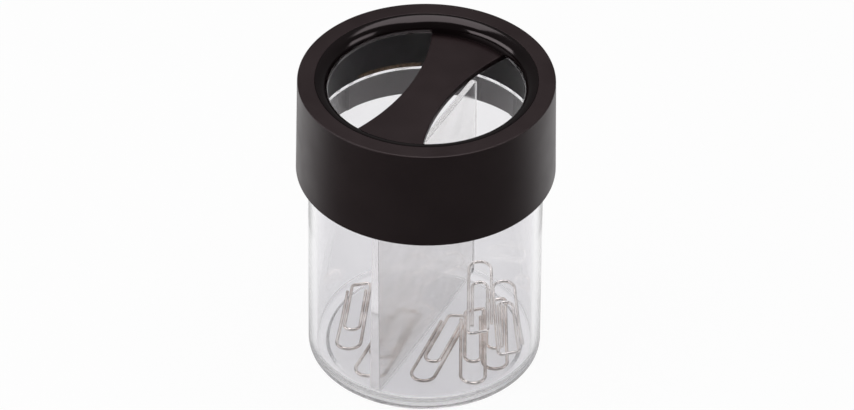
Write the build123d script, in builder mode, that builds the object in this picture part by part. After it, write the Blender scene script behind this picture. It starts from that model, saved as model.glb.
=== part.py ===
from build123d import *

import os
from math import cos, radians, sin, sqrt

# Desk holder for paper clips: a clear divided cup under a black push-on lid with a ring magnet.
# Millimetres, +Z up. The origin is on the table, under the middle of the cup.
# The divider in the cup and the bridge across the lid's mouth both run along X.

# Clear cup
cup_outer_r = 27.6
cup_height = 60.8
cup_floor_z = 3.0
cup_wall_at_floor = 1.8
cup_wall_at_rim = 1.5
cup_edge_r = 1.6
cup_inside_r = 0.8
cup_rim_round = 0.3
foot_recess_depth = 0.7
foot_recess_slope = 0.8
foot_ring_width = 2.4

# Divider plate that stands on the cup's floor
divider_at_floor = 2.5
divider_at_top = 1.4
divider_below_rim = 0.8
divider_end_gap = 0.15
divider_corner_r = 0.6

# Lid shell
lid_above_cup = 16.2
lid_skirt_drop = 25.3
lid_skirt_flare = 0.4
lid_wall = 1.2
lid_top_thick = 1.6
lid_rim_width = 4.1
lid_edge_chamfer = 0.5
lid_skirt_round = 0.3
skirt_gap = 1.2

# Grip ribs inside the skirt, which press on the cup's neck
rib_count = 8
rib_width = 1.2
rib_lead_in = 0.7
rib_above_skirt_edge = 0.8
rib_to_cup_gap = 0.1

# Throat ring that lines the mouth
throat_roll_r = 3.0
throat_land = 0.7
throat_lip_width = 2.2
throat_lip_round = 0.3
throat_fit_gap = 0.05
throat_flange_thick = 1.2
throat_flange_gap = 0.5

# Ring magnet between the throat ring and the cup's rim
magnet_thick = 2.0
magnet_edge_chamfer = 0.2
magnet_side_gap = 0.3
magnet_end_gap = 0.1
magnet_rim_gap = 0.3

# Bridge across the mouth
bridge_below_top = 4.2
bridge_thick = 1.5
bridge_waist = 10.1
bridge_side_r = 57.0
bridge_pad_inset = 0.3
bridge_edge_round = 0.25

# Bent wire clip
wire_d = 0.8
clip_length = 27.6
clip_width = 6.4
clip_leg_gap = 0.15
clip_nose_slant = 1.6
clip_corner_r = 1.0
clip_inner_bend = 7.6
clip_outer_tail = 9.2
clip_inner_tail = 10.2

# How the clips lie in the cup
clip_rest_gap = 0.05
clip_wall_gap = 0.15
clip_divider_gap = 0.6

# Levels and radii that follow from the sizes above
lid_top_z = cup_height + lid_above_cup
skirt_bottom_z = lid_top_z - lid_skirt_drop
ceiling_z = lid_top_z - lid_top_thick
lid_inner_r = cup_outer_r + skirt_gap
lid_top_r = lid_inner_r + lid_wall
cup_inner_floor_r = cup_outer_r - cup_wall_at_floor
cup_inner_rim_r = cup_outer_r - cup_wall_at_rim
throat_top_r = lid_top_r - lid_rim_width
throat_neck_r = throat_top_r - throat_roll_r
throat_lip_z = lid_top_z - throat_roll_r - throat_land
throat_flange_z = ceiling_z - throat_flange_thick
magnet_outer_r = lid_inner_r - magnet_side_gap
magnet_inner_r = magnet_outer_r - magnet_thick
magnet_bottom_z = cup_height + magnet_rim_gap
magnet_top_z = throat_flange_z - magnet_end_gap
bridge_top_z = lid_top_z - bridge_below_top
bridge_end_r = magnet_inner_r - magnet_side_gap

# Cup: a straight-sided beaker on a foot ring, its inside drafted towards the rim
with BuildPart() as cup:
    foot_inner_r = cup_outer_r - cup_edge_r - foot_ring_width
    with BuildSketch(Plane.XZ) as cup_profile:
        with BuildLine():
            Polyline(
                (0, foot_recess_depth),
                (foot_inner_r - foot_recess_slope, foot_recess_depth),
                (foot_inner_r, 0),
                (cup_outer_r, 0),
                (cup_outer_r, cup_height),
                (cup_inner_rim_r, cup_height),
                (cup_inner_floor_r, cup_floor_z),
                (0, cup_floor_z),
                close=True,
            )
        make_face()
        wall_corners = cup_profile.vertices().group_by(Axis.X)
        fillet(wall_corners[-1].sort_by(Axis.Y)[0], cup_edge_r)
        fillet(cup_profile.vertices().sort_by(Axis.Y)[-2:], cup_rim_round)
        inside_corner = cup_profile.vertices().sort_by_distance((cup_inner_floor_r, cup_floor_z))[0]
        fillet(inside_corner, cup_inside_r)
    revolve(axis=Axis.Z)

# Divider: a plate drafted in thickness, its ends following the cup's wall
with BuildPart() as divider:
    divider_top_z = cup_height - divider_below_rim
    with BuildSketch(Plane.XY.offset(cup_floor_z)):
        Rectangle(2 * (cup_inner_floor_r - divider_end_gap), divider_at_floor)
    with BuildSketch(Plane.XY.offset(divider_top_z)):
        Rectangle(2 * (cup_inner_rim_r - divider_end_gap - cup_rim_round), divider_at_top)
    loft()
    end_edges = divider.edges().filter_by(Axis.Y)
    fillet(end_edges.group_by(Axis.Z)[-1], divider_corner_r)
    chamfer(end_edges.group_by(Axis.Z)[0], cup_inside_r)

# Lid shell: a flared skirt under a flat rim, with grip ribs inside
with BuildPart() as lid_shell:
    with BuildSketch(Plane.XZ) as shell_profile:
        with BuildLine():
            Polyline(
                (throat_top_r + throat_fit_gap, lid_top_z),
                (lid_top_r, lid_top_z),
                (lid_top_r + lid_skirt_flare, skirt_bottom_z),
                (lid_inner_r + lid_skirt_flare, skirt_bottom_z),
                (lid_inner_r, ceiling_z),
                (throat_top_r + throat_fit_gap, ceiling_z),
                close=True,
            )
        make_face()
        rim_corner = shell_profile.vertices().sort_by_distance((lid_top_r, lid_top_z))[0]
        chamfer(rim_corner, lid_edge_chamfer)
        fillet(shell_profile.vertices().group_by(Axis.Y)[0], lid_skirt_round)
    revolve(axis=Axis.Z)

    rib_inner_r = cup_outer_r + rib_to_cup_gap
    rib_bottom_z = skirt_bottom_z + rib_above_skirt_edge
    rib_top_z = magnet_bottom_z - magnet_end_gap
    with BuildSketch(Plane.XZ) as rib_profile:
        with BuildLine():
            Polyline(
                (rib_inner_r + rib_lead_in, rib_bottom_z),
                (lid_inner_r + lid_wall / 2, rib_bottom_z),
                (lid_inner_r + lid_wall / 2, rib_top_z),
                (rib_inner_r, rib_top_z),
                (rib_inner_r, rib_bottom_z + rib_lead_in),
                close=True,
            )
        make_face()
    rib = extrude(amount=rib_width / 2, both=True, mode=Mode.PRIVATE)
    with PolarLocations(0, rib_count, start_angle=180 / rib_count):
        add(rib)

# Throat ring: a rolled lip flush with the rim, on a flange that bears under the lid's top
with BuildPart() as throat_ring:
    flange_r = lid_inner_r - throat_flange_gap
    lip_outer_r = throat_neck_r + throat_lip_width
    with BuildSketch(Plane.XZ) as throat_profile:
        with BuildLine():
            roll = CenterArc((throat_top_r, lid_top_z - throat_roll_r), throat_roll_r, 90, 90)
            Polyline(
                roll @ 1,
                (throat_neck_r, throat_lip_z),
                (lip_outer_r, throat_lip_z),
                (lip_outer_r, throat_flange_z),
                (flange_r, throat_flange_z),
                (flange_r, ceiling_z),
                (throat_top_r, ceiling_z),
                roll @ 0,
            )
        make_face()
        lip_corner = throat_profile.vertices().sort_by_distance((throat_neck_r, throat_lip_z))[0]
        fillet(lip_corner, throat_lip_round)
    revolve(axis=Axis.Z)

# Ring magnet: a band that lines the lid between the throat ring and the cup's rim
with BuildPart() as magnet_ring:
    with BuildSketch(Plane.XY.offset(magnet_bottom_z)):
        Circle(magnet_outer_r)
        Circle(magnet_inner_r, mode=Mode.SUBTRACT)
    extrude(amount=magnet_top_z - magnet_bottom_z)
    chamfer(magnet_ring.edges(), magnet_edge_chamfer)

# Bridge: a bar drawn in at the waist, with raised pads at its ends that bear under the throat ring's lip
with BuildPart() as bridge:
    pad_r = throat_neck_r + bridge_pad_inset
    side_centre = bridge_waist / 2 + bridge_side_r
    with BuildSketch(Plane.XY.offset(bridge_top_z - bridge_thick)) as bar_outline:
        Circle(bridge_end_r)
        with Locations((0, side_centre), (0, -side_centre)):
            Circle(bridge_side_r, mode=Mode.SUBTRACT)
    extrude(amount=bridge_thick)
    with BuildSketch(Plane.XY.offset(bridge_top_z)):
        add(bar_outline.face())
        Circle(pad_r, mode=Mode.SUBTRACT)
    extrude(amount=throat_lip_z - bridge_top_z)
    waist_edges = bridge.edges().filter_by(GeomType.CIRCLE).group_by(SortBy.RADIUS)[-1]
    bar_bottom_edges, bar_top_edges = waist_edges.group_by(Axis.Z)[:2]
    fillet(bar_bottom_edges + bar_top_edges, bridge_edge_round)

# Clips: three bends of wire, round at one end and slanted at the other
leg = (clip_width - wire_d) / 2
inner_leg = leg - wire_d - clip_leg_gap
tip = (clip_length - wire_d) / 2
bend_x = leg - tip
inner_bend_x = clip_inner_bend + inner_leg - tip


def bend_clip(plane: Plane) -> Part:
    """Sweep one clip, middle at the plane's origin and slanted nose along its X axis."""
    with BuildPart() as clip:
        with BuildLine(plane) as path:
            Line((clip_outer_tail, leg), (bend_x, leg))
            CenterArc((bend_x, 0), leg, 90, 180)
            FilletPolyline(
                (bend_x, -leg),
                (tip, -leg),
                (tip - clip_nose_slant, inner_leg),
                (inner_bend_x, inner_leg),
                radius=clip_corner_r,
            )
            CenterArc((inner_bend_x, 0), inner_leg, 90, 180)
            Line((inner_bend_x, -inner_leg), (clip_inner_tail, -inner_leg))
        wire_start = Plane(origin=path.wire() @ 0, z_dir=path.wire() % 0)
        with BuildSketch(wire_start):
            Circle(wire_d / 2)
        sweep(path=path.wire())
    return clip.part


# From a clip's middle to the middle of its round end, and how far from the cup's axis that end can lie
end_run = (clip_length - clip_width) / 2
end_reach = cup_inner_floor_r - clip_wall_gap - clip_width / 2


def lying_clip(side: int, out: float, along: float, yaw: float, layer: int, pitch: float) -> Part:
    """Lay a clip in one compartment, on the floor or on the layers of clips below it.

    side is 1 or -1 for the compartment. out places the middle from the divider (0) to the wall (1), and
    along from one end of the room that is left there (0) to the other (1). yaw turns the nose, and pitch
    lifts the nose or, when negative, the round end.
    """
    slant = radians((yaw + 90) % 180 - 90)
    run_x = end_run * cos(slant)
    run_y = end_run * sin(slant)
    nearest_y = divider_at_floor / 2 + clip_divider_gap + clip_width / 2 + abs(run_y)
    farthest_y = sqrt(end_reach**2 - end_run**2) * cos(slant)
    middle_y = side * (nearest_y + out * (farthest_y - nearest_y))
    least_x = run_x - sqrt(end_reach**2 - (middle_y - run_y) ** 2)
    most_x = sqrt(end_reach**2 - (middle_y + run_y) ** 2) - run_x
    middle_x = least_x + along * (most_x - least_x)
    low_end_z = cup_floor_z + clip_rest_gap + wire_d / 2 + layer * (wire_d + clip_rest_gap)
    middle_z = low_end_z + clip_length / 2 * sin(radians(abs(pitch)))
    place = Location((middle_x, middle_y, middle_z), (0, 0, yaw)) * Location((0, 0, 0), (0, -pitch, 0))
    return bend_clip(Plane(place))


clips = [
    lying_clip(side=1, out=0.86, along=0.70, yaw=22, layer=0, pitch=-2.5),
    lying_clip(side=1, out=0, along=0.12, yaw=6, layer=0, pitch=0),
    lying_clip(side=-1, out=0, along=0.28, yaw=6, layer=0, pitch=0),
    lying_clip(side=-1, out=0.73, along=0.64, yaw=24, layer=0, pitch=0),
    lying_clip(side=-1, out=0.50, along=0.10, yaw=25, layer=1, pitch=2.5),
    lying_clip(side=-1, out=1, along=0.50, yaw=207, layer=3, pitch=-2),
    lying_clip(side=-1, out=0, along=0.95, yaw=204.5, layer=5, pitch=-1.5),
]

pieces = {
    "cup": cup.part,
    "divider": divider.part,
    "lid_shell": lid_shell.part,
    "throat_ring": throat_ring.part,
    "magnet_ring": magnet_ring.part,
    "bridge": bridge.part,
}
for number, clip_part in enumerate(clips, start=1):
    pieces[f"paper_clip_{number}"] = clip_part

os.makedirs("parts", exist_ok=True)
for name, piece in pieces.items():
    piece.label = name
    export_step(piece, f"parts/{name}.step")
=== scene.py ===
import logging
import math
from dataclasses import dataclass
from enum import Enum

import bmesh
import bpy
from mathutils import Matrix, Vector


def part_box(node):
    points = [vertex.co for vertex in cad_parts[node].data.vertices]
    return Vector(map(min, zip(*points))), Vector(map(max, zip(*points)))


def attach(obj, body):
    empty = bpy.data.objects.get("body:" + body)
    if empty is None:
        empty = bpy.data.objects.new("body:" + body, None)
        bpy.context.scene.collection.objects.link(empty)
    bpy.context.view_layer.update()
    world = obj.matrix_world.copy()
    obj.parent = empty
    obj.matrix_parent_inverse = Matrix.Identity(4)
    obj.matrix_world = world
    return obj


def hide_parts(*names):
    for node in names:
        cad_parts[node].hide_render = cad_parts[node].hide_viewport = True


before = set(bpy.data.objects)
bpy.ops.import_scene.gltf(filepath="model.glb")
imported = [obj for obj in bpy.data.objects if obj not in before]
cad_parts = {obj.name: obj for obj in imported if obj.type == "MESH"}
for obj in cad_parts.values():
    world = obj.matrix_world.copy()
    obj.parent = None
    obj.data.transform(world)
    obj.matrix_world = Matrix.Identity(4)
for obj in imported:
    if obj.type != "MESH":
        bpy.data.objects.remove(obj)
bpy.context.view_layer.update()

MM = 0.001
SAME_PLACE = 1e-7
ON_RING = 1e-6
QUARTER_TURN = 90.0
HALF_TURN = 180.0
SHARP_ANGLE = math.radians(60)
CREASE_ANGLE = math.radians(40)
TURN_STEPS = 288
ROUND_PROFILE = 0.5
NOISE_SPAN = (0.3, 0.7)
ORIGIN = Vector((0, 0, 0))
X_AXIS = Vector((1, 0, 0))
Y_AXIS = Vector((0, 1, 0))
UP = Vector((0, 0, 1))

Colour = tuple[float, float, float, float]
Span = tuple[float, float]
Socket = bpy.types.NodeSocket
Inputs = dict[str | int, object]
Mesh = bmesh.types.BMesh
Edge = bmesh.types.BMEdge
Vert = bmesh.types.BMVert
Item = bpy.types.Object

log = logging.getLogger("clip_holder")


class Body(Enum):
    """The bodies that pieces ride on."""

    CUP = "cup"
    MAGNET = "magnet"
    LID = "lid"


class Slot(Enum):
    """Material slots, one named on each piece's card."""

    CLEAR = "clear_plastic"
    SATIN = "satin_black"
    GLOSS = "gloss_black"
    MAGNET = "magnet"
    WIRE = "clip_wire"


class Where(Enum):
    """The coordinates that a node tree works on."""

    PIECE = "Object"
    SKY = "Generated"


class Detail(Enum):
    """Octaves of finer noise."""

    BROAD = 1.0
    SOFT = 2.0
    MIXED = 3.0
    FINE = 4.0


class Facets(Enum):
    """Facets across a softened edge."""

    CHAMFER = 1
    EASED = 2
    FINE = 3
    ROUND = 4
    BROAD = 6
    FULL = 8


class NodeGraph:
    """A node tree that is wired up step by step."""

    RANGE_INPUTS = ("From Min", "From Max", "To Min", "To Max")
    # Socket numbers of a Mix node that blends colours: share, first and second colour, then result.
    MIX_INPUTS = (0, 6, 7)
    MIX_RESULT = 2

    def __init__(self, tree: bpy.types.NodeTree, where: Where = Where.PIECE) -> None:
        """Empty the tree and set out its coordinates.

        Args:
            tree: The node tree of a material or of the world.
            where: The coordinates that the tree works on.
        """
        self.tree = tree
        tree.nodes.clear()
        self.where = self.add("ShaderNodeTexCoord", {}).outputs[where.value]

    def add(self, kind: str, inputs: Inputs, **settings: object) -> bpy.types.Node:
        """Add a node.

        Args:
            kind: Blender's name for the node's type.
            inputs: What its inputs are fed, each a socket or a plain value.
            settings: Properties of the node to set.

        Returns:
            The new node.
        """
        node = self.tree.nodes.new(kind)
        for name, value in settings.items():
            setattr(node, name, value)
        for name, value in inputs.items():
            if isinstance(value, Socket):
                self.tree.links.new(value, node.inputs[name])
            else:
                node.inputs[name].default_value = value
        return node

    def noise(self, grain: float, detail: Detail) -> Socket:
        """Add noise whose lumps are about one grain, in metres, across."""
        inputs = {"Vector": self.where, "Scale": 1.0 / grain, "Detail": detail.value}
        return self.add("ShaderNodeTexNoise", inputs).outputs["Fac"]

    def along(self, direction: Vector) -> Socket:
        """Measure the tree's coordinates along a unit vector."""
        inputs = {0: self.where, 1: direction}
        return self.add("ShaderNodeVectorMath", inputs, operation="DOT_PRODUCT").outputs["Value"]

    def calc(self, operation: str, first: Socket, second: Socket | float) -> Socket:
        """Work out one value from two by one of Blender's operations."""
        return self.add("ShaderNodeMath", {0: first, 1: second}, operation=operation).outputs[0]

    def mix(self, share: Socket, first: Socket, second: Socket) -> Socket:
        """Blend two colours, where a share of 1 gives the second."""
        inputs = dict(zip(self.MIX_INPUTS, (share, first, second)))
        return self.add("ShaderNodeMix", inputs, data_type="RGBA").outputs[self.MIX_RESULT]

    def bump(self, height: Socket, depth: float, strength: float) -> Socket:
        """Bend the normal by relief of a depth in metres and a strength."""
        inputs = {"Height": height, "Distance": depth, "Strength": strength}
        return self.add("ShaderNodeBump", inputs).outputs["Normal"]

    def remap(self, value: Socket, source: Span, target: Span, smooth: bool = False) -> Socket:
        """Map a value from one range to another, held at both ends.

        Args:
            value: The value to map.
            source: The range that the value comes in.
            target: The range that it goes to.
            smooth: True eases both ends of the range.

        Returns:
            The mapped value.
        """
        inputs = {"Value": value, **dict(zip(self.RANGE_INPUTS, source + target))}
        course = "SMOOTHSTEP" if smooth else "LINEAR"
        return self.add("ShaderNodeMapRange", inputs, interpolation_type=course).outputs["Result"]

    def ramp(self, value: Socket, span: Span, low: Colour, high: Colour) -> Socket:
        """Colour a value.

        Args:
            value: A value from 0 to 1.
            span: Where in that range the colour starts and stops changing.
            low: The colour below the span.
            high: The colour above the span.

        Returns:
            The colour.
        """
        node = self.add("ShaderNodeValToRGB", {"Fac": value})
        for stop, position, colour in zip(node.color_ramp.elements, span, (low, high)):
            stop.position = position
            stop.color = colour
        return node.outputs["Color"]


class Finish:
    """A procedural material on Object coordinates."""

    name: str

    def material(self) -> bpy.types.Material:
        """Make the finish's material on the first call.

        Returns:
            The material.
        """
        known = bpy.data.materials.get(self.name)
        if known:
            return known
        made = bpy.data.materials.new(self.name)
        made.use_nodes = True
        graph = NodeGraph(made.node_tree)
        shader = graph.add("ShaderNodeBsdfPrincipled", self.inputs(graph))
        graph.add("ShaderNodeOutputMaterial", {"Surface": shader.outputs["BSDF"]})
        return made

    def inputs(self, graph: NodeGraph) -> Inputs:
        """Work out what feeds the shader.

        Args:
            graph: The material's nodes.

        Returns:
            The shader's inputs.
        """
        raise NotImplementedError


@dataclass(frozen=True)
class ClearPlastic(Finish):
    """Clear polished polystyrene with faint flow lines, handling marks and a frosted foot."""

    name: str = "clear_polystyrene"
    pale: Colour = (0.963, 0.957, 0.972, 1.0)
    deep: Colour = (0.932, 0.925, 0.946, 1.0)
    index: float = 1.57
    tint_grain: float = 22 * MM
    tint_span: Span = (0.35, 0.65)
    mark_grain: float = 6 * MM
    mark_span: Span = (0.5, 0.75)
    polish: Span = (0.0, 0.03)
    frost: float = 0.26
    frost_top: Span = (0.8 * MM, 1.3 * MM)
    flow_grain: float = 14 * MM
    flow_depth: float = 0.02 * MM
    flow_strength: float = 0.25

    def inputs(self, graph: NodeGraph) -> Inputs:
        """Work out what feeds the shader.

        Args:
            graph: The material's nodes.

        Returns:
            The shader's inputs.
        """
        clouds = graph.noise(self.tint_grain, Detail.SOFT)
        flow = graph.noise(self.flow_grain, Detail.BROAD)
        return {
            "Transmission Weight": 1.0,
            "IOR": self.index,
            "Base Color": graph.ramp(clouds, self.tint_span, self.deep, self.pale),
            "Roughness": self.roughness(graph),
            "Normal": graph.bump(flow, self.flow_depth, self.flow_strength),
        }

    def roughness(self, graph: NodeGraph) -> Socket:
        """Work out how rough the surface is.

        Args:
            graph: The material's nodes.

        Returns:
            The roughness.
        """
        marks = graph.remap(graph.noise(self.mark_grain, Detail.FINE), self.mark_span, self.polish)
        foot = graph.remap(graph.along(UP), self.frost_top, (self.frost, 0.0), smooth=True)
        return graph.calc("MAXIMUM", marks, foot)


@dataclass(frozen=True)
class HazyPlastic(ClearPlastic):
    """Clear polystyrene with hazy, wavy faces and polished ends and top."""

    name: str = "hazy_polystyrene"
    pale: Colour = (0.985, 0.98, 0.975, 1.0)
    deep: Colour = (0.955, 0.942, 0.93, 1.0)
    polish: Span = (0.10, 0.15)
    flow_grain: float = 8 * MM
    flow_depth: float = 0.10 * MM
    flow_strength: float = 0.5
    end_x: Span = (24.9 * MM, 25.3 * MM)
    top_z: Span = (59.5 * MM, 59.8 * MM)

    def roughness(self, graph: NodeGraph) -> Socket:
        """Work out how rough the surface is, with nothing left of the haze at the ends and the top.

        Args:
            graph: The material's nodes.

        Returns:
            The roughness.
        """
        across = graph.along(X_AXIS)
        start, end = self.end_x
        face = graph.remap(graph.calc("MULTIPLY", across, across), (start**2, end**2), (1.0, 0.0))
        below = graph.remap(graph.along(UP), self.top_z, (1.0, 0.0))
        hazy = graph.calc("MULTIPLY", face, below)
        return graph.calc("MULTIPLY", hazy, super().roughness(graph))


@dataclass(frozen=True)
class CloudedFinish(Finish):
    """An opaque finish whose colour and sheen vary in clouds, over a skin with fine relief."""

    name: str
    dark: Colour
    light: Colour
    sheen: Span
    cloud_grain: float
    skin_grain: float
    skin_depth: float
    skin_strength: float
    cloud_detail: Detail = Detail.MIXED
    cloud_span: Span = NOISE_SPAN
    gloss_tint: Colour = (1.0, 0.86, 0.89, 1.0)
    metallic: float = 0.0

    def inputs(self, graph: NodeGraph) -> Inputs:
        """Work out what feeds the shader.

        Args:
            graph: The material's nodes.

        Returns:
            The shader's inputs.
        """
        clouds = graph.noise(self.cloud_grain, self.cloud_detail)
        skin = graph.noise(self.skin_grain, Detail.SOFT)
        return {
            "Metallic": self.metallic,
            "Specular Tint": self.gloss_tint,
            "Base Color": graph.ramp(clouds, self.cloud_span, self.dark, self.light),
            "Roughness": graph.remap(clouds, NOISE_SPAN, self.sheen),
            "Normal": graph.bump(skin, self.skin_depth, self.skin_strength),
        }


@dataclass(frozen=True)
class FerriteBand(Finish):
    """Flexible magnet: a smooth dark face, its brown grain bare along part of the lower edge."""

    name: str = "ferrite_band"
    face_dark: Colour = (0.010, 0.009, 0.009, 1.0)
    face_light: Colour = (0.028, 0.021, 0.025, 1.0)
    face_grain: float = 7 * MM
    face_sheen: Span = (0.34, 0.44)
    face_gloss: float = 0.3
    cut_dark: Colour = (0.05, 0.032, 0.024, 1.0)
    cut_light: Colour = (0.60, 0.41, 0.29, 1.0)
    cut_span: Span = (0.35, 0.62)
    cut_grain: float = 0.35 * MM
    cut_depth: float = 0.1 * MM
    cut_strength: float = 0.5
    cut_height: float = 1.4 * MM
    cut_ragged: float = 0.3
    cut_solid: float = 0.6
    cut_bearing: float = 46.0
    cut_reach: Span = (25.0 * MM, 25.8 * MM)

    def inputs(self, graph: NodeGraph) -> Inputs:
        """Work out what feeds the shader.

        Args:
            graph: The material's nodes.

        Returns:
            The shader's inputs.
        """
        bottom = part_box("magnet_ring")[0].z
        grain = graph.noise(self.cut_grain, Detail.MIXED)
        swing = self.cut_ragged * self.cut_height
        height = graph.calc("ADD", graph.along(UP), graph.remap(grain, NOISE_SPAN, (-swing, swing)))
        fade = (bottom + self.cut_solid * self.cut_height, bottom + self.cut_height)
        turn = math.radians(self.cut_bearing)
        beside = graph.along(Vector((math.cos(turn), math.sin(turn), 0)))
        bare = graph.remap(beside, self.cut_reach, (0.0, 1.0), smooth=True)
        cut = graph.calc("MULTIPLY", graph.remap(height, fade, (1.0, 0.0)), bare)
        clouds = graph.noise(self.face_grain, Detail.SOFT)
        face = graph.ramp(clouds, NOISE_SPAN, self.face_dark, self.face_light)
        edge = graph.ramp(grain, self.cut_span, self.cut_dark, self.cut_light)
        relief = graph.calc("MULTIPLY", grain, cut)
        return {
            "Specular IOR Level": self.face_gloss,
            "Base Color": graph.mix(cut, face, edge),
            "Roughness": graph.calc("MAXIMUM", graph.remap(clouds, NOISE_SPAN, self.face_sheen), cut),
            "Normal": graph.bump(relief, self.cut_depth, self.cut_strength),
        }


@dataclass(frozen=True)
class NickelWire(CloudedFinish):
    """Nickel-plated wire, dull in places, with faint drawing marks."""

    name: str = "nickel_wire"
    dark: Colour = (0.52, 0.46, 0.425, 1.0)
    light: Colour = (0.86, 0.81, 0.77, 1.0)
    sheen: Span = (0.07, 0.03)
    cloud_grain: float = 6.0 * MM
    skin_grain: float = 0.12 * MM
    skin_depth: float = 0.01 * MM
    skin_strength: float = 0.2
    cloud_detail: Detail = Detail.FINE
    cloud_span: Span = (0.40, 0.60)
    gloss_tint: Colour = (1.0, 1.0, 1.0, 1.0)
    metallic: float = 1.0


CLEAR = ClearPlastic()
HAZY = HazyPlastic()
SATIN_BLACK = CloudedFinish(
    name="satin_black_plastic",
    dark=(0.0130, 0.0066, 0.0072, 1.0),
    light=(0.0170, 0.0094, 0.0100, 1.0),
    sheen=(0.38, 0.46),
    cloud_grain=9 * MM,
    skin_grain=0.25 * MM,
    skin_depth=0.006 * MM,
    skin_strength=0.35,
)
GLOSS_BLACK = CloudedFinish(
    name="gloss_black_plastic",
    dark=(0.0042, 0.0026, 0.0028, 1.0),
    light=(0.0062, 0.0040, 0.0042, 1.0),
    sheen=(0.10, 0.16),
    cloud_grain=7 * MM,
    skin_grain=2.0 * MM,
    skin_depth=0.004 * MM,
    skin_strength=0.2,
)
FERRITE = FerriteBand()
PLAIN_NICKEL = NickelWire()
# Painted light: the same nickel in a lighter colour, so the clips that wear it look more brightly lit.
PAINTED_LIGHT_NICKEL = NickelWire(
    name="painted_light_nickel_wire",
    dark=(0.76, 0.72, 0.69, 1.0),
    light=(0.95, 0.92, 0.895, 1.0),
)


class Outline:
    """An outline that is grown corner by corner in one plane."""

    def __init__(self, start: Vector, normal: Vector) -> None:
        """Set the first corner.

        Args:
            start: The first corner.
            normal: The axis that arcs turn about.
        """
        self.bm = bmesh.new()
        self.normal = normal
        self.first = self.bm.verts.new(start)
        self.end = self.first

    def line_to(self, point: Vector) -> None:
        """Add a straight run to a point."""
        self.end = bmesh.ops.extrude_vert_indiv(self.bm, verts=[self.end])["verts"][0]
        self.end.co = point

    def arc_about(self, centre: Vector, degrees: float, steps: int) -> None:
        """Add an arc.

        Args:
            centre: The arc's centre.
            degrees: How far it turns about the outline's normal.
            steps: Straight steps that make up the arc.
        """
        angle = math.radians(degrees)
        swept = bmesh.ops.spin(
            self.bm, geom=[self.end], cent=centre, axis=self.normal, angle=angle, steps=steps
        )
        self.end = next(item for item in swept["geom_last"] if isinstance(item, Vert))

    def close(self) -> "Outline":
        """Join the last corner to the first, which may be the same place.

        Returns:
            The outline itself.
        """
        if (self.end.co - self.first.co).length > SAME_PLACE:
            self.bm.edges.new((self.end, self.first))
        bmesh.ops.remove_doubles(self.bm, verts=self.bm.verts[:], dist=SAME_PLACE)
        return self

    def turn(self) -> Mesh:
        """Spin the outline once round the upright axis.

        Returns:
            The turned solid's mesh.
        """
        geom = self.bm.verts[:] + self.bm.edges[:]
        bmesh.ops.spin(
            self.bm, geom=geom, cent=ORIGIN, axis=UP, angle=math.tau, steps=TURN_STEPS, use_merge=True
        )
        bmesh.ops.remove_doubles(self.bm, verts=self.bm.verts[:], dist=SAME_PLACE)
        bmesh.ops.recalc_face_normals(self.bm, faces=self.bm.faces[:])
        return self.bm

    def lift(self, height: float) -> Mesh:
        """Fill a level outline and raise it to a plate.

        Args:
            height: Thickness of the plate.

        Returns:
            The plate's mesh.
        """
        filled = bmesh.ops.contextual_create(self.bm, geom=self.bm.edges[:])
        raised = bmesh.ops.extrude_face_region(self.bm, geom=filled["faces"])
        corners = [item for item in raised["geom"] if isinstance(item, Vert)]
        bmesh.ops.translate(self.bm, verts=corners, vec=UP * height)
        bmesh.ops.recalc_face_normals(self.bm, faces=self.bm.faces[:])
        return self.bm


def profile(corners: list[Span]) -> Outline:
    """Draw a profile of straight runs, to be turned.

    Args:
        corners: Radius and height of each corner in order.

    Returns:
        The open outline.
    """
    first, *others = [Vector((radius, 0, height)) for radius, height in corners]
    outline = Outline(first, Y_AXIS)
    for point in others:
        outline.line_to(point)
    return outline


def sharp_edges(bm: Mesh) -> list[Edge]:
    """Find the edges where two faces meet sharply."""
    return [edge for edge in bm.edges if edge.calc_face_angle(0.0) > SHARP_ANGLE]


def is_level(edge: Edge) -> bool:
    """Tell whether both ends of an edge are at one height."""
    return abs(edge.verts[0].co.z - edge.verts[1].co.z) < SAME_PLACE


def soften(bm: Mesh, edges: list[Edge], width: float, facets: Facets) -> None:
    """Round or chamfer edges.

    Args:
        bm: The mesh.
        edges: The edges to soften.
        width: Radius of the round, or width of the chamfer along each face.
        facets: Facets across the edge.
    """
    bmesh.ops.bevel(
        bm,
        geom=edges,
        offset=width,
        offset_type="OFFSET",
        segments=facets.value,
        profile=ROUND_PROFILE,
        affect="EDGES",
        clamp_overlap=True,
        material=-1,
    )


def soften_ring(bm: Mesh, radius: float, height: float, width: float, facets: Facets) -> None:
    """Soften the ring of edges at one radius and height of a turned mesh.

    Args:
        bm: The turned mesh.
        radius: Radius of the ring.
        height: Height of the ring.
        width: Radius of the round, or width of the chamfer.
        facets: Facets across the edge.
    """

    def on_ring(vert: Vert) -> bool:
        """Tell whether a corner lies on the ring."""
        return abs(vert.co.xy.length - radius) < ON_RING and abs(vert.co.z - height) < ON_RING

    soften(bm, [edge for edge in bm.edges if all(map(on_ring, edge.verts))], width, facets)


def put_up(name: str, data: bpy.types.ID) -> Item:
    """Make an object and put it in the scene.

    Args:
        name: The object's name.
        data: Its mesh, lamp or camera.

    Returns:
        The object.
    """
    made = bpy.data.objects.new(name, data)
    bpy.context.scene.collection.objects.link(made)
    return made


@dataclass(frozen=True)
class Card:
    """What a finished piece is called, what carries it and which node it stands for."""

    name: str
    body: Body
    node: str
    slot: Slot


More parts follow.
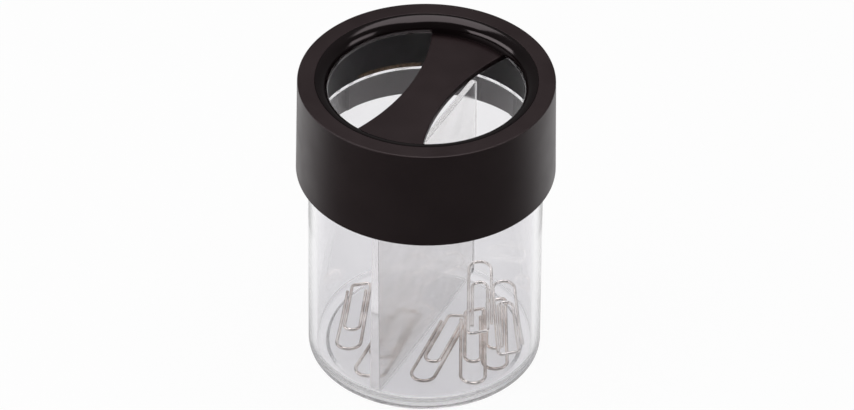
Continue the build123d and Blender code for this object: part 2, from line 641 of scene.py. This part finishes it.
def hand_over(bm: Mesh, card: Card, finish: Finish) -> None:
    """Make a piece from its mesh, dress it and set it on its body.

    Args:
        bm: The finished mesh, which is used up.
        card: Name, body, node and slot of the piece.
        finish: What the piece is dressed in.
    """
    for face in bm.faces:
        face.smooth = True
    for edge in bm.edges:
        edge.smooth = edge.calc_face_angle(0.0) < CREASE_ANGLE
    mesh = bpy.data.meshes.new(card.name)
    bm.to_mesh(mesh)
    bm.free()
    piece = put_up(card.name, mesh)
    mesh.materials.append(finish.material())
    even = piece.modifiers.new("even_shading", "WEIGHTED_NORMAL")
    even.keep_sharp = True
    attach(piece, card.body.value)
    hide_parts(card.node)
    log.info("%s rides on %s, %d faces", card.name, card.body.value, len(mesh.polygons))


@dataclass
class ClearCup:
    """The clear beaker with its foot ring."""

    floor: float = 3.0 * MM
    wall_at_floor: float = 1.8 * MM
    wall_at_rim: float = 1.5 * MM
    edge_r: float = 1.6 * MM
    inside_r: float = 0.8 * MM
    rim_round: float = 0.3 * MM
    recess_depth: float = 0.7 * MM
    recess_slope: float = 0.8 * MM
    foot_width: float = 2.4 * MM
    foot_round: float = 0.15 * MM

    def build(self) -> Mesh:
        """Turn the beaker's profile.

        Returns:
            The beaker's mesh.
        """
        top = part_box("cup")[1]
        outer_r = top.x
        inner_rim_r = outer_r - self.wall_at_rim
        inner_floor_r = outer_r - self.wall_at_floor
        foot_inner_r = outer_r - self.edge_r - self.foot_width
        corners = [
            (0, self.recess_depth),
            (foot_inner_r - self.recess_slope, self.recess_depth),
            (foot_inner_r, 0),
            (outer_r, 0),
            (outer_r, top.z),
            (inner_rim_r, top.z),
            (inner_floor_r, self.floor),
            (0, self.floor),
        ]
        bm = profile(corners).turn()
        soften_ring(bm, outer_r, 0, self.edge_r, Facets.FULL)
        soften_ring(bm, inner_floor_r, self.floor, self.inside_r, Facets.BROAD)
        soften_ring(bm, outer_r, top.z, self.rim_round, Facets.ROUND)
        soften_ring(bm, inner_rim_r, top.z, self.rim_round, Facets.ROUND)
        soften_ring(bm, foot_inner_r, 0, self.foot_round, Facets.FINE)
        return bm

    def dress(self) -> None:
        """Build the beaker and give it its clear finish."""
        hand_over(self.build(), Card("clear_cup", Body.CUP, "cup", Slot.CLEAR), CLEAR)


@dataclass
class DividerPlate:
    """The clear plate that parts the cup in two."""

    thick_at_floor: float = 2.5 * MM
    thick_at_top: float = 1.4 * MM
    top_corner_r: float = 0.6 * MM
    foot_chamfer: float = 0.8 * MM
    edge_round: float = 0.12 * MM
    seat_gap: float = 0.03 * MM

    @staticmethod
    def crosses(edge: Edge) -> bool:
        """Tell whether an edge runs level across the plate."""
        return is_level(edge) and abs(edge.verts[0].co.x - edge.verts[1].co.x) < SAME_PLACE

    def build(self) -> Mesh:
        """Shape the plate from a block that tapers upwards.

        Returns:
            The plate's mesh.
        """
        low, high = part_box("divider")
        foot = low.z + self.seat_gap
        height = high.z - foot
        middle = foot + height / 2
        bm = bmesh.new()
        bmesh.ops.create_cube(bm, size=1.0)
        bmesh.ops.scale(bm, verts=bm.verts[:], vec=(high.x - low.x, self.thick_at_floor, height))
        bmesh.ops.translate(bm, verts=bm.verts[:], vec=UP * middle)
        upper = [vert for vert in bm.verts if vert.co.z > middle]
        bmesh.ops.scale(bm, verts=upper, vec=(1, self.thick_at_top / self.thick_at_floor, 1))
        top_ends = [edge for edge in bm.edges if self.crosses(edge) and edge.verts[0].co.z > middle]
        soften(bm, top_ends, self.top_corner_r, Facets.BROAD)
        foot_ends = [edge for edge in bm.edges if self.crosses(edge) and edge.verts[0].co.z < middle]
        soften(bm, foot_ends, self.foot_chamfer, Facets.CHAMFER)
        soften(bm, sharp_edges(bm), self.edge_round, Facets.FINE)
        return bm

    def dress(self) -> None:
        """Build the plate and give it its hazy finish."""
        hand_over(self.build(), Card("divider_plate", Body.CUP, "divider", Slot.CLEAR), HAZY)


@dataclass
class LidCasing:
    """The black lid: a flared skirt under a flat rim, with grip ribs inside."""

    wall: float = 1.2 * MM
    top_thick: float = 1.6 * MM
    top_r: float = 30.0 * MM
    flare: float = 0.4 * MM
    mouth_r: float = 25.95 * MM
    rim_round: float = 0.35 * MM
    mouth_round: float = 0.12 * MM
    skirt_round: float = 0.3 * MM
    rib_count: int = 8
    rib_width: float = 1.2 * MM
    rib_inner_r: float = 27.7 * MM
    rib_lead_in: float = 0.7 * MM
    rib_above_edge: float = 0.8 * MM
    rib_top: float = 61.0 * MM

    def build(self) -> Mesh:
        """Turn the shell's profile and add the ribs.

        Returns:
            The lid's mesh.
        """
        low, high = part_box("lid_shell")
        ceiling = high.z - self.top_thick
        inner_r = self.top_r - self.wall
        corners = [
            (self.mouth_r, high.z),
            (self.top_r, high.z),
            (self.top_r + self.flare, low.z),
            (inner_r + self.flare, low.z),
            (inner_r, ceiling),
            (self.mouth_r, ceiling),
        ]
        bm = profile(corners).close().turn()
        soften_ring(bm, self.top_r + self.flare, low.z, self.skirt_round, Facets.ROUND)
        soften_ring(bm, inner_r + self.flare, low.z, self.skirt_round, Facets.ROUND)
        soften_ring(bm, self.top_r, high.z, self.rim_round, Facets.FINE)
        soften_ring(bm, self.mouth_r, high.z, self.mouth_round, Facets.FINE)
        for number in range(self.rib_count):
            self.add_rib(bm, low.z + self.rib_above_edge, math.tau * (number + 0.5) / self.rib_count)
        return bm

    def add_rib(self, bm: Mesh, foot: float, bearing: float) -> None:
        """Add one grip rib, sunk halfway into the skirt's wall.

        Args:
            bm: The lid's mesh.
            foot: Height of the rib's lower end.
            bearing: Where the rib stands, in radians round the axis.
        """
        outer_r = self.top_r - self.wall / 2
        size = Vector((outer_r - self.rib_inner_r, self.rib_width, self.rib_top - foot))
        middle = Vector(((outer_r + self.rib_inner_r) / 2, 0, (self.rib_top + foot) / 2))
        block = Matrix.Translation(middle) @ Matrix.Diagonal(size.to_4d())
        verts = bmesh.ops.create_cube(bm, size=1.0, matrix=block)["verts"]
        lead = [
            edge
            for edge in {edge for vert in verts for edge in vert.link_edges}
            if all(vert.co.x < middle.x and vert.co.z < middle.z for vert in edge.verts)
        ]
        bmesh.ops.rotate(bm, verts=verts, cent=ORIGIN, matrix=Matrix.Rotation(bearing, 3, "Z"))
        soften(bm, lead, self.rib_lead_in, Facets.CHAMFER)

    def dress(self) -> None:
        """Build the lid and give it its satin finish."""
        hand_over(self.build(), Card("lid_casing", Body.LID, "lid_shell", Slot.SATIN), SATIN_BLACK)


@dataclass
class ThroatLining:
    """The glossy rolled lip that lines the mouth."""

    top_r: float = 25.9 * MM
    roll_r: float = 3.0 * MM
    lip_width: float = 2.2 * MM
    lip_round: float = 0.3 * MM
    top_thick: float = 1.6 * MM
    flange_thick: float = 1.2 * MM
    roll_steps: int = 20

    def build(self) -> Mesh:
        """Turn the ring's profile, with the roll as an arc.

        Returns:
            The ring's mesh.
        """
        low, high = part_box("throat_ring")
        neck_r = self.top_r - self.roll_r
        lip_outer_r = neck_r + self.lip_width
        ceiling = high.z - self.top_thick
        flange = ceiling - self.flange_thick
        roll_z = high.z - self.roll_r
        outline = profile([(neck_r, roll_z)])
        outline.arc_about(Vector((self.top_r, 0, roll_z)), QUARTER_TURN, self.roll_steps)
        for radius, height in [
            (self.top_r, ceiling),
            (high.x, ceiling),
            (high.x, flange),
            (lip_outer_r, flange),
            (lip_outer_r, low.z),
            (neck_r, low.z),
        ]:
            outline.line_to(Vector((radius, 0, height)))
        bm = outline.close().turn()
        soften_ring(bm, neck_r, low.z, self.lip_round, Facets.ROUND)
        return bm

    def dress(self) -> None:
        """Build the ring and give it its glossy finish."""
        card = Card("throat_lining", Body.LID, "throat_ring", Slot.GLOSS)
        hand_over(self.build(), card, GLOSS_BLACK)


@dataclass
class MagnetBand:
    """The ring magnet between the throat and the cup's rim."""

    thick: float = 2.0 * MM
    edge_chamfer: float = 0.2 * MM

    def build(self) -> Mesh:
        """Turn the band's section.

        Returns:
            The band's mesh.
        """
        low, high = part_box("magnet_ring")
        inner_r = high.x - self.thick
        corners = [(inner_r, low.z), (high.x, low.z), (high.x, high.z), (inner_r, high.z)]
        bm = profile(corners).close().turn()
        for radius, height in corners:
            soften_ring(bm, radius, height, self.edge_chamfer, Facets.EASED)
        return bm

    def dress(self) -> None:
        """Build the band and give it its ferrite finish."""
        card = Card("magnet_band", Body.MAGNET, "magnet_ring", Slot.MAGNET)
        hand_over(self.build(), card, FERRITE)


@dataclass
class MouthBridge:
    """The satin bar across the mouth, drawn in at the waist, with a raised pad at each end."""

    thick: float = 1.5 * MM
    waist: float = 10.1 * MM
    side_r: float = 57.0 * MM
    end_r: float = 26.2 * MM
    pad_r: float = 23.2 * MM
    edge_round: float = 0.25 * MM
    pad_sink: float = 0.3 * MM
    side_steps: int = 64
    end_steps: int = 16
    pad_steps: int = 8

    def corner(self, radius: float) -> Vector:
        """Find where the bar's side crosses a circle about the axis.

        Args:
            radius: The circle's radius.

        Returns:
            The crossing in the quarter where X and Y are positive.
        """
        centre = self.waist / 2 + self.side_r
        y = (radius**2 + centre**2 - self.side_r**2) / (2 * centre)
        return Vector((math.sqrt(radius**2 - y**2), y, 0))

    def side_angle(self, point: Vector) -> float:
        """Give the angle in degrees from the waist to a point on the bar's side."""
        return math.degrees(math.asin(point.x / self.side_r))

    @staticmethod
    def end_angle(point: Vector) -> float:
        """Give the angle in degrees about the axis from a point to its mirror image across X."""
        return 2 * math.degrees(math.atan2(point.y, point.x))

    def centres(self, foot: float) -> tuple[Vector, Vector, Vector]:
        """Find what the bar's sides and ends are arcs about.

        Args:
            foot: Height of the arcs.

        Returns:
            The centres of the side at positive Y, of the side at negative Y and of the ends.
        """
        axis = UP * foot
        out = Y_AXIS * (self.waist / 2 + self.side_r)
        return axis + out, axis - out, axis

    def bar(self, foot: float) -> Mesh:
        """Make the bar.

        Args:
            foot: Height of the bar's underside.

        Returns:
            The bar's mesh.
        """
        corner = self.corner(self.end_r)
        near, far, axis = self.centres(foot)
        outline = Outline(corner + axis, UP)
        for side_centre in (near, far):
            outline.arc_about(side_centre, -2 * self.side_angle(corner), self.side_steps)
            outline.arc_about(axis, self.end_angle(corner), self.end_steps)
        bm = outline.close().lift(self.thick)
        soften(bm, [edge for edge in sharp_edges(bm) if is_level(edge)], self.edge_round, Facets.ROUND)
        return bm

    def pad(self, foot: float, height: float) -> Mesh:
        """Make the raised pad at the end where X is positive.

        Args:
            foot: Height of the pad's underside.
            height: Thickness of the pad.

        Returns:
            The pad's mesh.
        """
        outer, inner = self.corner(self.end_r), self.corner(self.pad_r)
        near, far, axis = self.centres(foot)
        run = self.side_angle(outer) - self.side_angle(inner)
        outline = Outline(outer + axis, UP)
        outline.arc_about(near, -run, self.pad_steps)
        outline.arc_about(axis, -self.end_angle(inner), self.end_steps)
        outline.arc_about(far, -run, self.pad_steps)
        outline.arc_about(axis, self.end_angle(outer), self.end_steps)
        return outline.close().lift(height)

    def build(self) -> Mesh:
        """Join the bar and its two pads.

        Returns:
            The bridge's mesh.
        """
        low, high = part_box("bridge")
        bm = self.bar(low.z)
        pad_foot = low.z + self.thick - self.pad_sink
        pad_mesh = bpy.data.meshes.new("bridge_pad")
        pad_bm = self.pad(pad_foot, high.z - pad_foot)
        pad_bm.to_mesh(pad_mesh)
        pad_bm.free()
        for half_turn in (0.0, math.pi):
            pad_mesh.transform(Matrix.Rotation(half_turn, 4, "Z"))
            bm.from_mesh(pad_mesh)
        bpy.data.meshes.remove(pad_mesh)
        return bm

    def dress(self) -> None:
        """Build the bridge and give it its satin finish."""
        hand_over(self.build(), Card("mouth_bridge", Body.LID, "bridge", Slot.SATIN), SATIN_BLACK)


class WireBender:
    """A length of round wire, grown run by run in the XY plane and always bent to the left."""

    def __init__(self, gauge: float, sides: int, start: Vector, heading: float) -> None:
        """Cut the wire's first end.

        Args:
            gauge: The wire's diameter.
            sides: Facets round the wire.
            start: Middle of the first end.
            heading: Direction that the wire sets off in, in degrees from X.
        """
        self.bm = bmesh.new()
        self.here = start.copy()
        self.heading = heading
        upright = Matrix.Rotation(math.radians(QUARTER_TURN), 4, "Y")
        facing = Matrix.Translation(start) @ Matrix.Rotation(math.radians(heading), 4, "Z") @ upright
        bmesh.ops.create_circle(self.bm, cap_ends=True, radius=gauge / 2, segments=sides, matrix=facing)
        self.loop = self.bm.edges[:]

    def direction(self) -> Vector:
        """Give the way that the wire points."""
        turn = math.radians(self.heading)
        return Vector((math.cos(turn), math.sin(turn), 0))

    def straight(self, length: float) -> None:
        """Add a straight run.

        Args:
            length: Length of the run.
        """
        grown = bmesh.ops.extrude_edge_only(self.bm, edges=self.loop)["geom"]
        ring = [item for item in grown if isinstance(item, Vert)]
        edges = [item for item in grown if isinstance(item, Edge)]
        step = self.direction() * length
        bmesh.ops.translate(self.bm, verts=ring, vec=step)
        self.loop = [edge for edge in edges if set(edge.verts) <= set(ring)]
        self.here += step

    def bend(self, radius: float, degrees: float, steps: int) -> None:
        """Add a bend to the left.

        Args:
            radius: Radius at the middle of the wire.
            degrees: How far the wire turns.
            steps: Straight steps that make up the bend.
        """
        left = Matrix.Rotation(math.radians(QUARTER_TURN), 3, "Z") @ self.direction()
        centre = self.here + left * radius
        angle = math.radians(degrees)
        swept = bmesh.ops.spin(self.bm, geom=self.loop, cent=centre, axis=UP, angle=angle, steps=steps)
        self.loop = [item for item in swept["geom_last"] if isinstance(item, Edge)]
        self.here = centre + Matrix.Rotation(angle, 3, "Z") @ (self.here - centre)
        self.heading += degrees

    def cut(self, burr: float) -> Mesh:
        """Close the wire's last end and ease the rims of both cuts.

        Args:
            burr: Width of the rounded rim at each cut.

        Returns:
            The wire's mesh.
        """
        bmesh.ops.contextual_create(self.bm, geom=self.loop)
        bmesh.ops.remove_doubles(self.bm, verts=self.bm.verts[:], dist=SAME_PLACE)
        bmesh.ops.recalc_face_normals(self.bm, faces=self.bm.faces[:])
        soften(self.bm, sharp_edges(self.bm), burr, Facets.EASED)
        return self.bm


@dataclass(frozen=True)
class Lie:
    """How one clip lies in the cup.

    Side is 1 or -1 for the compartment. Out places the middle from the divider (0) to the wall (1),
    and along from one end of the room that is left there (0) to the other (1). Yaw turns the nose,
    layer counts the clips below, and pitch lifts the nose or, when negative, the round end. Finish
    is the clip's nickel, and its lighter copy is painted light that makes those clips look more brightly
    lit.
    """

    side: int
    out: float
    along: float
    yaw: float
    layer: int
    pitch: float
    finish: NickelWire = PLAIN_NICKEL


@dataclass
class ClipHeap:
    """The bent wire clips in the cup."""

    wire: float = 0.8 * MM
    length: float = 27.6 * MM
    width: float = 6.4 * MM
    leg_gap: float = 0.15 * MM
    nose_slant: float = 1.6 * MM
    corner_r: float = 1.0 * MM
    inner_bend: float = 7.6 * MM
    outer_tail: float = 9.2 * MM
    inner_tail: float = 10.2 * MM
    burr: float = 0.08 * MM
    rest_gap: float = 0.05 * MM
    wall_gap: float = 0.15 * MM
    divider_gap: float = 0.6 * MM
    floor: float = 3.0 * MM
    inside_r: float = 25.8 * MM
    sides: int = 20
    outer_steps: int = 28
    inner_steps: int = 24
    corner_steps: int = 10
    lies: tuple[Lie, ...] = (
        Lie(1, 0.86, 0.70, 22, 0, -2.5),
        Lie(1, 0, 0.12, 6, 0, 0),
        Lie(-1, 0, 0.28, 6, 0, 0),
        Lie(-1, 0.73, 0.64, 24, 0, 0),
        Lie(-1, 0.50, 0.10, 25, 1, 2.5),
        # The two upper clips wear the lighter nickel, which is painted light.
        Lie(-1, 1, 0.50, 207, 3, -2, PAINTED_LIGHT_NICKEL),
        Lie(-1, 0, 0.95, 204.5, 5, -1.5, PAINTED_LIGHT_NICKEL),
    )

    def bend(self) -> Mesh:
        """Bend one clip about the origin, its slanted nose along X.

        Returns:
            The clip's mesh.
        """
        leg = (self.width - self.wire) / 2
        inner_leg = leg - self.wire - self.leg_gap
        tip = (self.length - self.wire) / 2
        bend_x = leg - tip
        inner_bend_x = self.inner_bend + inner_leg - tip
        nose = math.hypot(self.nose_slant, leg + inner_leg)
        first_turn = QUARTER_TURN + math.degrees(math.atan2(self.nose_slant, leg + inner_leg))
        last_turn = HALF_TURN - first_turn
        first_cut = self.corner_r * math.tan(math.radians(first_turn / 2))
        last_cut = self.corner_r * math.tan(math.radians(last_turn / 2))
        wire = WireBender(self.wire, self.sides, Vector((self.outer_tail, leg, 0)), HALF_TURN)
        wire.straight(self.outer_tail - bend_x)
        wire.bend(leg, HALF_TURN, self.outer_steps)
        wire.straight(tip - bend_x - first_cut)
        wire.bend(self.corner_r, first_turn, self.corner_steps)
        wire.straight(nose - first_cut - last_cut)
        wire.bend(self.corner_r, last_turn, self.corner_steps)
        wire.straight(tip - self.nose_slant - last_cut - inner_bend_x)
        wire.bend(inner_leg, HALF_TURN, self.inner_steps)
        wire.straight(self.inner_tail - inner_bend_x)
        return wire.cut(self.burr)

    def place(self, lie: Lie) -> Matrix:
        """Find a clip's place.

        Args:
            lie: How the clip lies.

        Returns:
            The clip's placement in the cup.
        """
        end_run = (self.length - self.width) / 2
        end_reach = self.inside_r - self.wall_gap - self.width / 2
        slant = math.radians((lie.yaw + QUARTER_TURN) % HALF_TURN - QUARTER_TURN)
        run_x = end_run * math.cos(slant)
        run_y = end_run * math.sin(slant)
        nearest_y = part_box("divider")[1].y + self.divider_gap + self.width / 2 + abs(run_y)
        farthest_y = math.sqrt(end_reach**2 - end_run**2) * math.cos(slant)
        y = lie.side * (nearest_y + lie.out * (farthest_y - nearest_y))
        least_x = run_x - math.sqrt(end_reach**2 - (y - run_y) ** 2)
        most_x = math.sqrt(end_reach**2 - (y + run_y) ** 2) - run_x
        pitch = math.radians(lie.pitch)
        low_end = self.floor + self.rest_gap + self.wire / 2 + lie.layer * (self.wire + self.rest_gap)
        z = low_end + self.length / 2 * math.sin(abs(pitch))
        middle = Vector((least_x + lie.along * (most_x - least_x), y, z))
        turned = Matrix.Rotation(math.radians(lie.yaw), 4, "Z") @ Matrix.Rotation(-pitch, 4, "Y")
        return Matrix.Translation(middle) @ turned

    def dress(self) -> None:
        """Bend every clip and give it its nickel finish."""
        for number, lie in enumerate(self.lies, start=1):
            bm = self.bend()
            bmesh.ops.transform(bm, matrix=self.place(lie), verts=bm.verts[:])
            card = Card(f"bent_clip_{number}", Body.CUP, f"paper_clip_{number}", Slot.WIRE)
            hand_over(bm, card, lie.finish)


@dataclass(frozen=True)
class StripLamp:
    """A wide low lamp beside the object, its bearing in degrees to the left of straight away."""

    bearing: float
    width: float
    level: float


@dataclass
class Studio:
    """Floor, light and camera."""

    azimuth: float = -64.0
    elevation: float = 37.68
    roll: float = 0.5
    distance: float = 1.5
    target_z: float = 40.2 * MM
    lens: float = 269.1
    sensor: float = 36.0
    shift_x: float = 0.0018
    floor_size: float = 6.0
    floor_colour: Colour = (0.86, 0.86, 0.86, 1.0)
    floor_seen: float = 0.95
    floor_through: float = 0.66
    floor_inside: float = 0.25
    floor_piped: float = 0.95
    gloss_near: float = 0.16
    gloss_fade: Span = (-0.03, 0.05)
    sky_front: float = 0.08
    sky_back: float = 0.16
    sky_fade: Span = (-0.5, 0.5)
    sky_inside: float = 0.05
    inside_spread: Span = (0.66, 0.95)
    one_mirror: float = 1.0
    any_mirror: float = 0.5
    wall_crossed: float = 2.5
    softbox_size: float = 1.0
    softbox_height: float = 0.95
    softbox_level: float = 2.1
    strips: tuple[StripLamp, ...] = (StripLamp(105.0, 0.9, 3.0), StripLamp(-105.0, 0.45, 2.2))
    strip_height: float = 0.3
    strip_distance: float = 0.85
    strip_rise: float = 20.0
    light_bounces: int = 32

    def toward_camera(self) -> Vector:
        """Give the unit vector from the object to the camera."""
        turn, rise = math.radians(self.azimuth), math.radians(self.elevation)
        return Vector((math.sin(turn) * math.cos(rise), -math.cos(turn) * math.cos(rise), math.sin(rise)))

    def away(self) -> Vector:
        """Give the level unit vector from the camera past the object."""
        turn = math.radians(self.azimuth)
        return Vector((-math.sin(turn), math.cos(turn), 0))

    def mirrored_inside(self, graph: NodeGraph, rays: bpy.types.bpy_prop_collection) -> Socket:
        """Pick out the rays that one wire inside the cup has mirrored.

        Args:
            graph: Nodes of the floor or of the sky.
            rays: Outputs of the Light Path node.

        Returns:
            1 for such a ray, which has crossed the cup's wall both ways, and 0 for any other.
        """
        once = graph.calc("COMPARE", rays["Glossy Depth"], self.one_mirror)
        both_ways = graph.calc("GREATER_THAN", rays["Transmission Depth"], self.wall_crossed)
        return graph.calc("MULTIPLY", once, both_ways)

    def floor_glow(self, graph: NodeGraph) -> tuple[Socket, Socket]:
        """Work out how the floor glows to each kind of ray.

        Args:
            graph: The floor's nodes.

        Returns:
            The share of the glow in the floor, and the strength of the glow.
        """
        rays = graph.add("ShaderNodeLightPath", {}).outputs
        behind = graph.remap(graph.along(self.away()), self.gloss_fade, (self.gloss_near, 1.0), smooth=True)
        # A ray through clear plastic counts as glossy too, so it is taken off the mirrored ones.
        mirrored = graph.calc("SUBTRACT", rays["Is Glossy Ray"], rays["Is Transmission Ray"])
        loss = graph.calc("MULTIPLY", graph.calc("SUBTRACT", behind, 1.0), mirrored)
        seen = graph.calc("MULTIPLY", rays["Is Camera Ray"], self.floor_seen)
        # Rays that are piped along inside the plastic see the floor lighter, rays off a wire darker.
        piped = graph.calc("GREATER_THAN", rays["Glossy Depth"], self.any_mirror)
        plain = graph.remap(piped, (0.0, 1.0), (self.floor_through, self.floor_piped))
        once = self.mirrored_inside(graph, rays)
        dimming = graph.calc("MULTIPLY", once, self.floor_piped - self.floor_inside)
        clear = graph.calc("SUBTRACT", plain, dimming)
        through = graph.calc("MULTIPLY", rays["Is Transmission Ray"], clear)
        share = graph.calc("ADD", graph.calc("ADD", seen, through), mirrored)
        return share, graph.calc("ADD", loss, 1.0)

    def add_floor(self) -> None:
        """Lay the pale floor, white to the camera and through clear walls, dim in front for gloss."""
        bm = bmesh.new()
        bmesh.ops.create_grid(bm, x_segments=1, y_segments=1, size=self.floor_size / 2)
        mesh = bpy.data.meshes.new("studio_floor")
        bm.to_mesh(mesh)
        bm.free()
        floor = put_up("studio_floor", mesh)
        material = bpy.data.materials.new("studio_floor")
        material.use_nodes = True
        mesh.materials.append(material)
        graph = NodeGraph(material.node_tree)
        share, strength = self.floor_glow(graph)
        diffuse = graph.add("ShaderNodeBsdfDiffuse", {"Color": self.floor_colour})
        glow = graph.add("ShaderNodeEmission", {"Strength": strength})
        blend = graph.add("ShaderNodeMixShader", {0: share, 1: diffuse.outputs[0], 2: glow.outputs[0]})
        graph.add("ShaderNodeOutputMaterial", {"Surface": blend.outputs[0]})

    def add_sky(self) -> None:
        """Surround the stage: white to the camera and through clear walls, else dim in front."""
        world = bpy.data.worlds.new("studio_sky")
        bpy.context.scene.world = world
        world.use_nodes = True
        graph = NodeGraph(world.node_tree, Where.SKY)
        rays = graph.add("ShaderNodeLightPath", {}).outputs
        dim = (self.sky_front, self.sky_back)
        level = graph.remap(graph.along(self.away()), self.sky_fade, dim, smooth=True)
        # Off a wire, the sky is white only round the way in which a level mirror sends the view.
        mirror_of_camera = UP * (2 * self.toward_camera().z) - self.toward_camera()
        aside = graph.remap(graph.along(mirror_of_camera), self.inside_spread, (1.0, 0.0), smooth=True)
        lost = graph.calc("MULTIPLY", self.mirrored_inside(graph, rays), aside)
        dimming = graph.calc("MULTIPLY", lost, 1.0 - self.sky_inside)
        clear = graph.remap(dimming, (0.0, 1.0), (1.0, 0.0))
        through = graph.calc("MULTIPLY", rays["Is Transmission Ray"], clear)
        plain = graph.calc("MAXIMUM", rays["Is Camera Ray"], through)
        sky = graph.add("ShaderNodeBackground", {"Strength": graph.calc("MAXIMUM", level, plain)})
        graph.add("ShaderNodeOutputWorld", {"Surface": sky.outputs[0]})

    @staticmethod
    def add_lamp(name: str, width: float, height: float, level: float) -> Item:
        """Add a soft rectangular lamp.

        Args:
            name: The lamp's name.
            width: Its width.
            height: Its height.
            level: How bright its face is.

        Returns:
            The lamp, which faces straight down.
        """
        lamp = bpy.data.lights.new(name, "AREA")
        lamp.shape = "RECTANGLE"
        lamp.size = width
        lamp.size_y = height
        lamp.energy = level * math.pi * width * height
        return put_up(name, lamp)

    def aim(self, item: Item, outward: Vector, distance: float, roll: float = 0.0) -> None:
        """Stand a lamp or the camera off the object, facing it.

        Args:
            item: The lamp or the camera.
            outward: Unit vector from the object to the item.
            distance: How far off it stands.
            roll: How far it is turned about its line of sight, in degrees.
        """
        item.location = UP * self.target_z + outward * distance
        item.rotation_mode = "QUATERNION"
        level = (-outward).to_track_quat("-Z", "Y")
        item.rotation_quaternion = level @ Matrix.Rotation(math.radians(roll), 3, "Z").to_quaternion()

    def add_lamps(self) -> None:
        """Hang one large soft lamp over the object and stand a wide low one on each side."""
        softbox = self.add_lamp("softbox", self.softbox_size, self.softbox_size, self.softbox_level)
        softbox.location = UP * self.softbox_height
        rise = math.radians(self.strip_rise)
        for strip in self.strips:
            lamp = self.add_lamp("side_strip", strip.width, self.strip_height, strip.level)
            level = Matrix.Rotation(math.radians(strip.bearing), 3, "Z") @ self.away()
            self.aim(lamp, level * math.cos(rise) + UP * math.sin(rise), self.strip_distance)

    def add_camera(self) -> None:
        """Stand the camera at the photograph's angle."""
        data = bpy.data.cameras.new("camera")
        data.lens = self.lens
        data.sensor_width = self.sensor
        data.shift_x = self.shift_x
        camera = put_up("camera", data)
        self.aim(camera, self.toward_camera(), self.distance, self.roll)
        bpy.context.scene.camera = camera

    def set_up(self) -> None:
        """Put up the whole studio."""
        scene = bpy.context.scene
        scene.view_settings.view_transform = "Standard"
        scene.cycles.max_bounces = self.light_bounces
        scene.cycles.glossy_bounces = self.light_bounces
        scene.cycles.transmission_bounces = self.light_bounces
        self.add_floor()
        self.add_sky()
        self.add_lamps()
        self.add_camera()


def main() -> None:
    """Build every piece, then the studio."""
    logging.basicConfig(level=logging.INFO, format="%(name)s: %(message)s")
    for assembly in (ClearCup, DividerPlate, LidCasing, ThroatLining, MagnetBand, MouthBridge, ClipHeap):
        assembly().dress()
    Studio().set_up()


if __name__ == "__main__":
    main()
